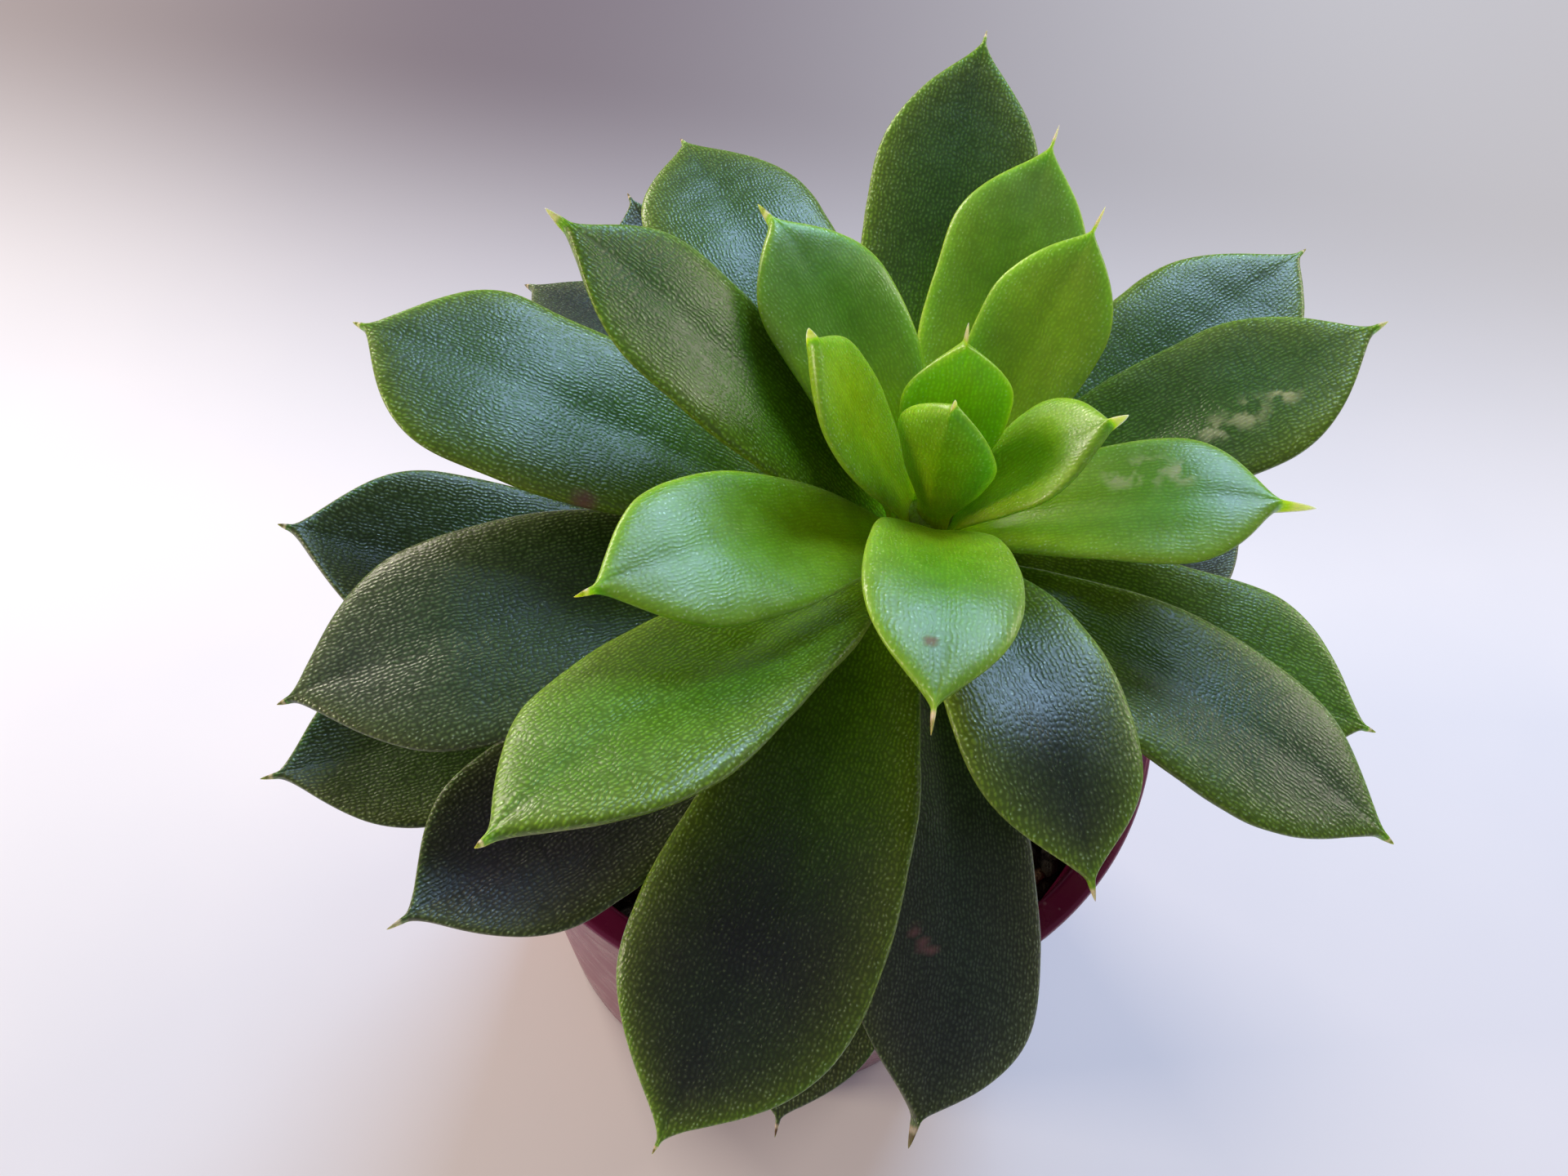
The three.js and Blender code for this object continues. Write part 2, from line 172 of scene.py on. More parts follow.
# The leaf's hard point by place: its length in millimetres, and how dried up it is, from 0 where it is
# still pale to 1 where it is brown.
POINTS = {
    0: (0.9, 0.0), 1: (1.5, 0.0), 2: (1.3, 0.2), 3: (0.9, 0.5), 4: (1.9, 0.2), 5: (1.6, 0.7),
    6: (1.4, 1.0), 7: (2.2, 0.0), 8: (1.1, 1.0), 9: (1.8, 0.2), 10: (1.0, 0.2), 11: (1.4, 0.1),
    12: (0.9, 0.1), 13: (0.6, 0.8), 14: (0.8, 0.6), 23: (1.7, 1.0), 26: (1.2, 0.5), 31: (1.2, 0.9),
    34: (1.0, 0.9),
}
USUAL_POINT = (0.7, 0.9)

# The blade's colour by place, partly age and partly painted light and shade: above 0 it is darkened, up
# to nearly black at 1, by age and by painted shade, and below 0 it is lightened towards the colour of
# the leaf's own joint, wholly so at -1, by freshness and by painted light.
AGE_AND_PAINTED_LIGHT = {
    0: -0.35, 1: -1.0, 2: -0.25, 3: -0.7, 4: -0.35, 5: 0.1, 7: 0.15, 8: -0.1, 9: -0.1, 10: 1.0, 11: -0.1,
    12: 0.1, 13: -0.5, 14: 0.1, 15: 0.4, 16: 0.0, 17: 0.1, 18: 0.95, 19: 0.0, 20: -0.6, 21: 0.0, 23: 0.5,
    26: 1.0, 29: -0.3, 31: 0.1, 32: 0.3, 34: -0.4,
}
USUAL_OLD_AGE_AND_PAINTED_LIGHT = 0.5

# Scars and pale patches by place: kind, share of the length, share of the half width to the left, and
# radius. The pale patches on place 12 are a painted highlight.
MARKS_AND_PAINTED_HIGHLIGHTS = {
    5: [("scar", 0.8, -0.12, 0.35)],
    7: [("pale_patch", 0.5, 0.4, 1.3), ("pale_patch", 0.57, 0.42, 1.5), ("pale_patch", 0.65, 0.36, 1.1)],
    12: [("pale_patch", 0.6, -0.36, 1.2), ("pale_patch", 0.67, -0.34, 1.4), ("pale_patch", 0.75, -0.3, 1.1)],
    16: [("scar", 0.52, 0.93, 0.8)],
    23: [("scar", 0.66, -0.33, 0.5), ("scar", 0.64, -0.45, 0.4), ("scar", 0.67, -0.22, 0.25)],
}


# ---- Small numeric helpers ----
def smooth_step(low, high, x):
    """0 below low, 1 above high, and an S-shaped cubic between."""
    k = np.clip((x - low) / (high - low), 0, 1)
    return k * k * (3 - 2 * k)


def ripple(points, size, seed, waves=7):
    """A smooth uneven field from about -1 to 1: a sum of sine waves of about the given wavelength in
    random directions, at (n, 3) points."""
    random = np.random.default_rng(seed)
    directions = random.normal(size=(waves, 3))
    directions /= np.linalg.norm(directions, axis=1)[:, None]
    pace = 2 * math.pi / (size * random.uniform(0.7, 1.5, waves))
    phase = random.uniform(0, 2 * math.pi, waves)
    return np.sin((points @ directions.T) * pace + phase).sum(axis=1) / math.sqrt(waves)


def unit(vectors):
    return vectors / np.linalg.norm(vectors, axis=-1, keepdims=True)


# ---- Mesh helpers ----
def new_piece(name, points, faces, material):
    """An object at the origin with the given points, in millimetres, and faces, shaded smooth."""
    mesh = bpy.data.meshes.new(name)
    mesh.from_pydata((points * MM).tolist(), [], faces)
    mesh.polygons.foreach_set("use_smooth", np.ones(len(mesh.polygons), bool))
    mesh.materials.append(material)
    mesh.update()
    piece = bpy.data.objects.new(name, mesh)
    bpy.context.scene.collection.objects.link(piece)
    return piece


def band_faces(rings, sides):
    """Quads between neighbouring rings of points, joining each ring's last point to its first."""
    i, j = np.meshgrid(np.arange(rings - 1), np.arange(sides), indexing="ij")
    k = (j + 1) % sides
    quads = np.stack([i * sides + j, i * sides + k, (i + 1) * sides + k, (i + 1) * sides + j], axis=-1)
    return quads.reshape(-1, 4).tolist()


def skinned(grid):
    """Points and faces of a closed skin over a (rings, sides, 3) grid, with a fan over each end."""
    rings, sides = grid.shape[:2]
    ends = grid[[0, -1]].mean(axis=1)
    points = np.concatenate([grid.reshape(-1, 3), ends])
    j = np.arange(sides)
    k = (j + 1) % sides
    start, stop = rings * sides, rings * sides + 1
    last = (rings - 1) * sides
    fans = np.stack([np.full(sides, start), k, j], axis=-1).tolist()
    fans += np.stack([np.full(sides, stop), last + j, last + k], axis=-1).tolist()
    return points, band_faces(rings, sides) + fans


def turned(profile, sides):
    """Points and faces of a profile of (radius, height) turned about Z. Both of its ends are on the
    axis."""
    profile = np.array(profile)
    angle = np.linspace(0, 2 * math.pi, sides, endpoint=False)
    radius, height = profile[1:-1, 0][:, None], profile[1:-1, 1][:, None]
    grid = np.stack([radius * np.cos(angle), radius * np.sin(angle), height + 0 * angle], axis=-1)
    points, faces = skinned(grid)
    points[-2:, 2] = profile[[0, -1], 1]
    return points, faces


def write_field(piece, name, values):
    """Writes an (n, 3) array to a vector attribute on the piece's points."""
    field = piece.data.attributes.new(name, "FLOAT_VECTOR", "POINT")
    field.data.foreach_set("vector", np.ascontiguousarray(values, np.float32).ravel())


def place_on_frame(piece, node):
    """The piece stands for a node of the frame."""
    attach(piece, BODY)
    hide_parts(node)


# ---- Node helpers ----
class Graph:
    """Adds nodes to a node tree. An input's value is a number, a colour or another node's output."""

    def __init__(self, tree):
        self.tree = tree

    def add(self, kind, inputs=None, **settings):
        node = self.tree.nodes.new(kind)
        for key, value in settings.items():
            setattr(node, key, value)
        for key, value in (inputs or {}).items():
            self.feed(node.inputs[key], value)
        return node

    def feed(self, socket, value):
        if isinstance(value, bpy.types.NodeSocket):
            self.tree.links.new(value, socket)
        else:
            socket.default_value = value

    def math(self, operation, a, b=0.0, clamp=False):
        return self.add("ShaderNodeMath", {0: a, 1: b}, operation=operation, use_clamp=clamp).outputs[0]

    def remap(self, value, low, high, to_low=0.0, to_high=1.0):
        """A smooth step from to_low, at low, up or down to to_high, at high."""
        inputs = {"Value": value, "From Min": low, "From Max": high, "To Min": to_low, "To Max": to_high}
        return self.add("ShaderNodeMapRange", inputs, interpolation_type="SMOOTHSTEP").outputs[0]

    def blend(self, factor, a, b):
        """Colour a where the factor is 0 and b where it is 1."""
        node = self.add("ShaderNodeMix", data_type="RGBA")
        for socket, value in ((node.inputs[0], factor), (node.inputs[6], a), (node.inputs[7], b)):
            self.feed(socket, value)
        return node.outputs[2]

    def scaled(self, vector, scale):
        """A vector with its axes scaled."""
        node = self.add("ShaderNodeMapping", {"Vector": vector})
        node.inputs["Scale"].default_value = scale
        return node.outputs[0]

    def field(self, name):
        """The three channels of a vector attribute, and the vector itself."""
        vector = self.add("ShaderNodeAttribute", attribute_name=name).outputs["Vector"]
        parts = self.add("ShaderNodeSeparateXYZ", {"Vector": vector}).outputs
        return parts[0], parts[1], parts[2], vector

    def place(self):
        """Object coordinates."""
        return self.add("ShaderNodeTexCoord").outputs["Object"]

    def group(self, tree, inputs):
        """Uses a node group and returns its outputs."""
        node = self.tree.nodes.new("ShaderNodeGroup")
        node.node_tree = tree
        for key, value in inputs.items():
            self.feed(node.inputs[key], value)
        return node.outputs


def colour(red, green, blue):
    """A node colour from linear red, green and blue."""
    return (red, green, blue, 1.0)


def new_group(name, inputs, outputs):
    """A shader node group. inputs and outputs map socket names to "Float", "Vector" or "Color"."""
    tree = bpy.data.node_groups.new(name, "ShaderNodeTree")
    for way, sockets in (("INPUT", inputs), ("OUTPUT", outputs)):
        for socket, kind in sockets.items():
            tree.interface.new_socket(socket, in_out=way, socket_type="NodeSocket" + kind)
    graph = Graph(tree)
    given = graph.add("NodeGroupInput").outputs
    taken = graph.add("NodeGroupOutput").inputs
    return tree, graph, given, taken


def new_material(name):
    """A material with one Principled shader. Returns the material, its graph and the shader."""
    material = bpy.data.materials.new(name)
    material.use_nodes = True
    material.node_tree.nodes.clear()
    graph = Graph(material.node_tree)
    shader = graph.add("ShaderNodeBsdfPrincipled")
    output = graph.add("ShaderNodeOutputMaterial")
    graph.feed(output.inputs["Surface"], shader.outputs[0])
    return material, graph, shader


def patches_group():
    """Soft uneven patches of about Size millimetres, from 0 to 1."""
    tree, graph, given, taken = new_group(
        "soft_patches", {"Place": "Vector", "Size": "Float"}, {"Patch": "Float"}
    )
    metres = graph.math("MULTIPLY", given["Size"], MM)
    pace = graph.math("DIVIDE", 1.0, metres)
    noise = graph.add("ShaderNodeTexNoise", {"Vector": given["Place"], "Scale": pace, "Detail": 3.0})
    graph.feed(taken["Patch"], graph.remap(noise.outputs[0], 0.32, 0.68))
    return tree


def papillae_group():
    """The skin's tiny swollen cells, in wavy rows along the leaf, each row starting at a place of its
    own. Skin is a place on the skin in millimetres, across and along. Cell is 1 on top of a cell and 0
    between cells. Glint is 1 at the heart of the cells that catch the light."""
    tree, graph, given, taken = new_group(
        "papilla_rows",
        {"Skin": "Vector", "Row Pitch": "Float", "Stretch": "Float", "Waviness": "Float"},
        {"Cell": "Float", "Glint": "Float"},
    )
    parts = graph.add("ShaderNodeSeparateXYZ", {"Vector": given["Skin"]}).outputs
    sway = graph.add("ShaderNodeTexNoise", {"Vector": given["Skin"], "Scale": 0.6, "Detail": 2.0})
    shift = graph.math("MULTIPLY", graph.math("SUBTRACT", sway.outputs[0], 0.5), given["Waviness"])
    across = graph.math("DIVIDE", graph.math("ADD", parts[0], shift), given["Row Pitch"])
    length = graph.math("MULTIPLY", given["Row Pitch"], given["Stretch"])
    own = graph.add("ShaderNodeTexWhiteNoise", {"W": graph.math("FLOOR", across)}, noise_dimensions="1D")
    start = graph.math("MULTIPLY", own.outputs[0], ROW_START_SPREAD)
    along = graph.math("ADD", graph.math("DIVIDE", parts[1], length), start)
    spot = graph.add("ShaderNodeCombineXYZ", {0: across, 1: along}).outputs[0]
    cells = graph.add(
        "ShaderNodeTexVoronoi", {"Vector": spot, "Scale": 1.0, "Randomness": 0.7}, voronoi_dimensions="2D"
    )
    row = graph.remap(graph.math("PINGPONG", across, 0.5), 0.0, 0.5, 0.25, 1.0)
    dome = graph.remap(cells.outputs["Distance"], 0.75, 0.05)
    graph.feed(taken["Cell"], graph.math("MULTIPLY", row, dome))
    lucky = graph.add(
        "ShaderNodeTexWhiteNoise", {"Vector": cells.outputs["Position"]}, noise_dimensions="2D"
    )
    near = graph.remap(cells.outputs["Distance"], 0.3, 0.05)
    graph.feed(taken["Glint"], graph.math("MULTIPLY", near, graph.remap(lucky.outputs[0], 0.3, 1.0)))
    return tree


def specks_group():
    """Small separate specks: 1 inside a speck. Amount is the share of cells that hold one."""
    tree, graph, given, taken = new_group(
        "specks", {"Place": "Vector", "Spacing": "Float", "Amount": "Float"}, {"Speck": "Float"}
    )
    metres = graph.math("MULTIPLY", given["Spacing"], MM)
    pace = graph.math("DIVIDE", 1.0, metres)
    cells = graph.add("ShaderNodeTexVoronoi", {"Vector": given["Place"], "Scale": pace})
    drawn = graph.add("ShaderNodeTexWhiteNoise", {"Vector": cells.outputs["Position"]}).outputs[0]
    chosen = graph.math("LESS_THAN", drawn, given["Amount"])
    core = graph.remap(cells.outputs["Distance"], 0.22, 0.08)
    graph.feed(taken["Speck"], graph.math("MULTIPLY", chosen, core))
    return tree


SOFT_PATCHES = patches_group()
PAPILLA_ROWS = papillae_group()
SPECKS = specks_group()


# ---- Materials ----
def leaf_material(name, heart, blade, end, edge, aged_and_shaded, glow, gloss, reach, grain):
    """Waxy fleshy leaf skin. heart, blade and end are its colours at the joint, in the middle and
    towards the point; the heart is paler partly by its own colour and partly by a painted glow of light
    through the flesh. edge is the colour of its rounded margins, partly their own paler tint and partly a
    painted glow, and aged_and_shaded the dark colour it darkens to by age and by painted shade. glow
    is how much light passes through its flesh, reach how many millimetres it goes, gloss the
    roughness of its wax, and grain how much the skin's cells show, in bumps and in painted light and
    shade."""
    material, graph, shader = new_material(name)
    margin, along, dusk, _ = graph.field("growth")
    scar, pale_patch, point, _ = graph.field("marks")
    skin = graph.field("skin")[3]
    place = graph.place()

    patch = graph.group(SOFT_PATCHES, {"Place": place, "Size": 9.0})["Patch"]
    mottle = graph.group(SOFT_PATCHES, {"Place": place, "Size": 1.6})["Patch"]
    rows = graph.group(
        PAPILLA_ROWS, {"Skin": skin, "Row Pitch": PAPILLA_PITCH, "Stretch": 1.1, "Waviness": 0.9}
    )

    # Paler towards the joint, partly its own colour and partly a painted glow of light through the flesh.
    flesh = graph.blend(graph.remap(along, 0.05, 0.62), heart, blade)
    far = graph.math("MULTIPLY", graph.remap(along, 0.6, 0.98), graph.remap(patch, 0.0, 1.0, 0.6, 1.0))
    flesh = graph.blend(far, flesh, end)
    # Lightened towards the heart colour below 0, partly freshness and partly painted light.
    fresh_and_painted_light = graph.math("MULTIPLY", dusk, -1.0, clamp=True)
    flesh = graph.blend(fresh_and_painted_light, flesh, heart)
    # Darkened towards aged_and_shaded above 0, mostly towards the point, partly age and partly painted
    # shade.
    dark = graph.math("MULTIPLY", dusk, graph.remap(along, 0.15, 0.68), clamp=True)
    dark = graph.math("MULTIPLY", dark, graph.remap(patch, 0.0, 1.0, 0.86, 1.0))
    dark = graph.math("MULTIPLY", dark, graph.remap(along, 1.0, 0.9, 0.4, 1.0))
    flesh = graph.blend(dark, flesh, aged_and_shaded)
    # Paler margins, partly their own tint and partly a painted glow of light through the thin edge.
    flesh = graph.blend(graph.math("MULTIPLY", margin, 0.9), flesh, edge)
    shade = graph.remap(graph.math("ADD", patch, mottle), 0.0, 2.0, 0.91, 1.09)
    tone = graph.add("ShaderNodeHueSaturation", {"Value": shade, "Color": flesh}).outputs[0]
    # Painted light and shade on the skin's cells: their tops lighter and the furrows between them darker.
    cell_painted_light = graph.remap(rows["Cell"], 0.0, 1.0, 1 - grain, 1 + grain / 2)
    tone = graph.add("ShaderNodeHueSaturation", {"Value": cell_painted_light, "Color": tone}).outputs[0]
    # Painted highlight: pale glints on the cells that catch the light, strongest along the margins.
    painted_sparkle = graph.math("MULTIPLY", rows["Glint"], graph.remap(margin, 0.0, 0.8, 0.16, 0.6))
    tone = graph.blend(painted_sparkle, tone, colour(0.5, 0.6, 0.36))
    # Pale yellowish patches; those on place 12 are a painted highlight.
    pale_patched = graph.math("MULTIPLY", pale_patch, graph.remap(mottle, 0.2, 0.9, 0.0, 0.7))
    tone = graph.blend(pale_patched, tone, colour(0.45, 0.44, 0.22))
    tone = graph.blend(graph.math("MULTIPLY", scar, 0.9), tone, colour(0.24, 0.1, 0.09))
    pale, dried = colour(0.6, 0.42, 0.36), colour(0.13, 0.045, 0.025)
    tip_colour = graph.blend(graph.remap(point, 0.55, 0.95), pale, dried)
    tone = graph.blend(graph.remap(point, 0.05, 0.4), tone, tip_colour)
    graph.feed(shader.inputs["Base Color"], tone)

    rough = graph.remap(mottle, 0.0, 1.0, gloss - 0.02, gloss + 0.03)
    rough = graph.math("SUBTRACT", rough, graph.math("MULTIPLY", rows["Glint"], 0.2))
    rough = graph.math("ADD", rough, graph.math("MULTIPLY", scar, 0.3), clamp=True)
    graph.feed(shader.inputs["Roughness"], rough)

    dents = graph.add("ShaderNodeBump", {"Height": mottle, "Strength": 0.05, "Distance": 0.04 * MM})
    cells = graph.add("ShaderNodeBump", {
        "Height": rows["Cell"], "Strength": 0.15 + 1.5 * grain, "Distance": PAPILLA_HEIGHT * MM,
        "Normal": dents.outputs[0],
    })
    graph.feed(shader.inputs["Normal"], cells.outputs[0])

    shader.inputs["Subsurface Weight"].default_value = glow
    shader.inputs["Subsurface Radius"].default_value = FLESH_REACH
    shader.inputs["Subsurface Scale"].default_value = reach * MM
    shader.inputs["IOR"].default_value = 1.45
    return material


def pot_material():
    """Glossy dark red moulded plastic, with faint scuffs and dust."""
    material, graph, shader = new_material("pot_plastic")
    place = graph.place()
    patch = graph.group(SOFT_PATCHES, {"Place": place, "Size": 14.0})["Patch"]
    haze = graph.group(SOFT_PATCHES, {"Place": place, "Size": 2.5})["Patch"]
    dust = graph.group(SPECKS, {"Place": place, "Spacing": 0.9, "Amount": 0.08})["Speck"]
    body = graph.blend(patch, colour(0.12, 0.005, 0.035), colour(0.16, 0.009, 0.048))
    body = graph.blend(graph.math("MULTIPLY", dust, 0.15), body, colour(0.5, 0.42, 0.4))
    graph.feed(shader.inputs["Base Color"], body)
    rough = graph.remap(graph.math("ADD", patch, haze), 0.0, 2.0, 0.2, 0.34)
    graph.feed(shader.inputs["Roughness"], graph.math("ADD", rough, graph.math("MULTIPLY", dust, 0.4)))
    bump = graph.add("ShaderNodeBump", {"Height": haze, "Strength": 0.15, "Distance": 0.05 * MM})
    graph.feed(shader.inputs["Normal"], bump.outputs[0])
    shader.inputs["IOR"].default_value = 1.6
    shader.inputs["Specular Tint"].default_value = colour(1.0, 0.55, 0.7)
    return material


def crumb_material(name, dark, light, roughness):
    """Dull crumbly matter, from a dark to a light colour in small patches."""
    material, graph, shader = new_material(name)
    place = graph.place()
    patch = graph.group(SOFT_PATCHES, {"Place": place, "Size": 2.2})["Patch"]
    grit = graph.group(SOFT_PATCHES, {"Place": place, "Size": 0.35})["Patch"]
    mixed = graph.math("MULTIPLY", graph.math("ADD", patch, grit), 0.5)
    graph.feed(shader.inputs["Base Color"], graph.blend(mixed, dark, light))
    graph.feed(shader.inputs["Roughness"], graph.remap(grit, 0.0, 1.0, roughness - 0.1, roughness))
    bump = graph.add("ShaderNodeBump", {"Height": grit, "Strength": 0.8, "Distance": 0.2 * MM})
    graph.feed(shader.inputs["Normal"], bump.outputs[0])
    return material


def stem_material():
    """Young stem skin: grey-green above and corky brown below, darker round the old leaf scars."""
    material, graph, shader = new_material("stem_skin")
    height, scar, _, _ = graph.field("bark")
    place = graph.place()
    patch = graph.group(SOFT_PATCHES, {"Place": place, "Size": 2.0})["Patch"]
    upright = graph.scaled(place, (1.0, 1.0, 0.3))
    grain = graph.group(SOFT_PATCHES, {"Place": upright, "Size": 0.4})["Patch"]
    age = graph.math("SUBTRACT", height, graph.math("MULTIPLY", patch, 0.3))
    skin = graph.blend(graph.remap(age, 0.0, 0.5), colour(0.15, 0.1, 0.05), colour(0.16, 0.26, 0.04))
    skin = graph.blend(graph.remap(height, 0.7, 0.92), skin, colour(0.34, 0.52, 0.02))
    skin = graph.blend(graph.math("MULTIPLY", grain, 0.35), skin, colour(0.3, 0.26, 0.15))
    skin = graph.blend(graph.math("MULTIPLY", scar, 0.6), skin, colour(0.1, 0.06, 0.03))
    graph.feed(shader.inputs["Base Color"], skin)
    graph.feed(shader.inputs["Roughness"], graph.remap(grain, 0.0, 1.0, 0.6, 0.8))
    bump = graph.add("ShaderNodeBump", {"Height": grain, "Strength": 0.6, "Distance": 0.15 * MM})
    graph.feed(shader.inputs["Normal"], bump.outputs[0])
    shader.inputs["Subsurface Weight"].default_value = 0.4
    shader.inputs["Subsurface Radius"].default_value = FLESH_REACH
    shader.inputs["Subsurface Scale"].default_value = 2.0 * MM
    return material


YOUNG_LEAF = leaf_material(
    "young_leaf", heart=colour(0.5, 0.72, 0.004), blade=colour(0.12, 0.34, 0.003),
    end=colour(0.1, 0.2, 0.05), edge=colour(0.26, 0.4, 0.03),
    aged_and_shaded=colour(0.013, 0.014, 0.02), glow=0.75, gloss=0.32, reach=4.0, grain=0.14)
GROWN_LEAF = leaf_material(
    "grown_leaf", heart=colour(0.17, 0.38, 0.004), blade=colour(0.05, 0.15, 0.008),
    end=colour(0.05, 0.11, 0.025), edge=colour(0.22, 0.32, 0.02),
    aged_and_shaded=colour(0.011, 0.012, 0.018), glow=0.5, gloss=0.31, reach=3.0, grain=0.4)
# Old leaves darken to a lilac grey, partly their own colour and partly a painted reflection of the room.
OLD_LEAF = leaf_material(
    "old_leaf", heart=colour(0.08, 0.18, 0.01), blade=colour(0.045, 0.1, 0.024),
    end=colour(0.06, 0.075, 0.04), edge=colour(0.14, 0.18, 0.045),
    aged_and_shaded=colour(0.034, 0.03, 0.042), glow=0.3, gloss=0.33, reach=2.0, grain=0.5)
POT_PLASTIC = pot_material()
# The fine mix is near-black: its own dark colour, darkened further as painted shade inside the pot.
MIX_DARK_AND_SHADED = crumb_material("potting_mix", colour(0.006, 0.005, 0.005), colour(0.028, 0.018, 0.013), 0.95)
PERLITE = crumb_material("perlite", colour(0.26, 0.24, 0.21), colour(0.52, 0.5, 0.47), 0.9)
BARK_CHIP = crumb_material("bark_chip", colour(0.06, 0.03, 0.015), colour(0.2, 0.11, 0.06), 0.85)
STEM_SKIN = stem_material()


# ---- Stem ----
def up_stem(height):
    """Share of the way up the free part of the stem: 0 at the mix, 1 at the tip."""
    return np.maximum(0.0, (height - MIX_CROWN) / (STEM_TIP - MIX_CROWN))


def stem_centre(height):
    """The stem's middle at a height: it leans to +X as a power of the way up."""
    height = np.asarray(height, float)
    return np.stack([STEM_LEAN * up_stem(height) ** STEM_BOW, 0 * height, height], axis=-1)


def stem_radius(height):
    """Nearly full for the lower half, then drawn in to the tip as a fourth-power arch."""
    arch = np.sqrt(np.clip(1 - up_stem(height) ** 4, 0, 1))
    return STEM_TIP_RADIUS + (STEM_RADIUS - STEM_TIP_RADIUS) * arch


def build_stem():
    """The stem as rings round its leaning middle line. Every shed leaf has left a low oval scar, on
    the same spiral as the leaves, with a dent at its middle."""
    rings, sides = 150, 64
    height = np.linspace(STEM_FOOT, STEM_TIP, rings)[:, None]
    angle = np.linspace(0, 2 * math.pi, sides, endpoint=False)[None, :]
    radius = stem_radius(height) + 0 * angle
    scar = 0 * radius
    shed = [SHED_PLACE, *range(OLDEST_PLACE + 1, OLDEST_PLACE + SCARS_BELOW + 1)]
    for place in shed:
        heading = math.radians(FIRST_HEADING - DIVERGENCE * place)
        around = (angle - heading + math.pi) % (2 * math.pi) - math.pi
        aside = around * STEM_RADIUS / 1.5
        above = (height - (LEAF_TOP - LEAF_SPACING * place)) / 0.55
        spread = np.hypot(aside, above)
        radius += SCAR_RIDGE * np.exp(-((spread - 0.75) / 0.35) ** 2)
        radius -= SCAR_DENT * np.exp(-((spread / 0.4) ** 2))
        scar = np.maximum(scar, np.exp(-((spread / 0.8) ** 2)))
    centre = stem_centre(height[:, 0])[:, None, :]
    flat = np.stack([np.cos(angle) + 0 * radius, np.sin(angle) + 0 * radius, 0 * radius], axis=-1)
    grid = centre + radius[..., None] * flat
    points, faces = skinned(grid)
    stem = new_piece("stem_skin_and_scars", points, faces, STEM_SKIN)
    way = np.append(up_stem(height + 0 * angle).ravel(), [0.0, 1.0])
    marks = np.append(scar.ravel(), [0.0, 0.0])
    write_field(stem, "bark", np.stack([way, marks, 0 * way], axis=-1))
    place_on_frame(stem, "stem")


# ---- Leaves ----
def grow_leaf(habit):
    """A leaf's size and place, from the growth laws and its own habit."""
    place = habit["place"]
    leaf = dict(lean=0, turn=0, roll=0, long=1, broad=1, widest=YOUNGEST_WIDEST + WIDEST_STEP * place)
    leaf.update(habit)
    leaf["height"] = LEAF_TOP - LEAF_SPACING * place
    leaf["heading"] = FIRST_HEADING - DIVERGENCE * place + leaf["lean"]
    leaf["length"] = leaf["long"] * min(FULL_LENGTH, YOUNGEST_LENGTH + LENGTH_STEP * place)
    leaf["width"] = leaf["broad"] * min(FULL_WIDTH, YOUNGEST_WIDTH + WIDTH_STEP * place)
    leaf["age"] = place / OLDEST_PLACE
    leaf["point_length"], leaf["dry"] = POINTS.get(place, USUAL_POINT)
    leaf["dusk"] = AGE_AND_PAINTED_LIGHT.get(place, USUAL_OLD_AGE_AND_PAINTED_LIGHT if place > OLD_PLACE else 0.0)
    return leaf


def point_width(leaf, t):
    """Half width of the hard point: even, then narrowing to nothing over the last stretch."""
    widest = leaf["widest"]
    way = (t - widest) / (1 - widest)
    foot = 1 - leaf["point_length"] / (leaf["length"] * (1 - widest))
    return POINT_RADIUS * np.clip((1 - way) / (1 - foot), 0, 1) ** 0.7 * np.clip((way - 0.6) / 0.3, 0, 1)


def half_width(leaf, t):
    """Half width along the leaf: it swells as a sine from the clasping joint to the widest place, then
    narrows along an arch that is drawn out to the foot of the point."""
    widest = leaf["widest"]
    joint = JOINT_SHARE - JOINT_NARROWING * leaf["age"]
    swell = joint + (1 - joint) * np.sin(math.pi / 2 * np.clip(t / widest, 0, 1)) ** SWELL
    way = np.clip((t - widest) / (1 - widest), 0, 1)
    foot = 1 - leaf["point_length"] / (leaf["length"] * (1 - widest))
    fullness = POINTED_FULLNESS + FULLNESS_GAIN * min(1, leaf["place"] / 7)
    arch = np.clip(1 - (way / foot) ** fullness, 0, 1) ** (fullness / 2)
    blade = BREADTH * leaf["width"] / 2 * np.where(t <= widest, swell, arch)
    return np.hypot(blade, point_width(leaf, t))


def thickness(leaf, t):
    """Full thickness along the leaf: under half at the joint, whole from halfway along, and thinning
    along an arch to the point."""
    filling = np.sin(math.pi / 2 * np.clip(t / THICKEST_AT, 0, 1))
    fill = JOINT_THICKNESS + (1 - JOINT_THICKNESS) * filling
    taper = (1 - np.clip((t - THICKEST_AT) / (1 - THICKEST_AT), 0, 1) ** THINNING) ** THINNING_END
    return np.hypot(LEAF_THICKNESS * leaf["width"] * fill * taper, 2 * point_width(leaf, t))


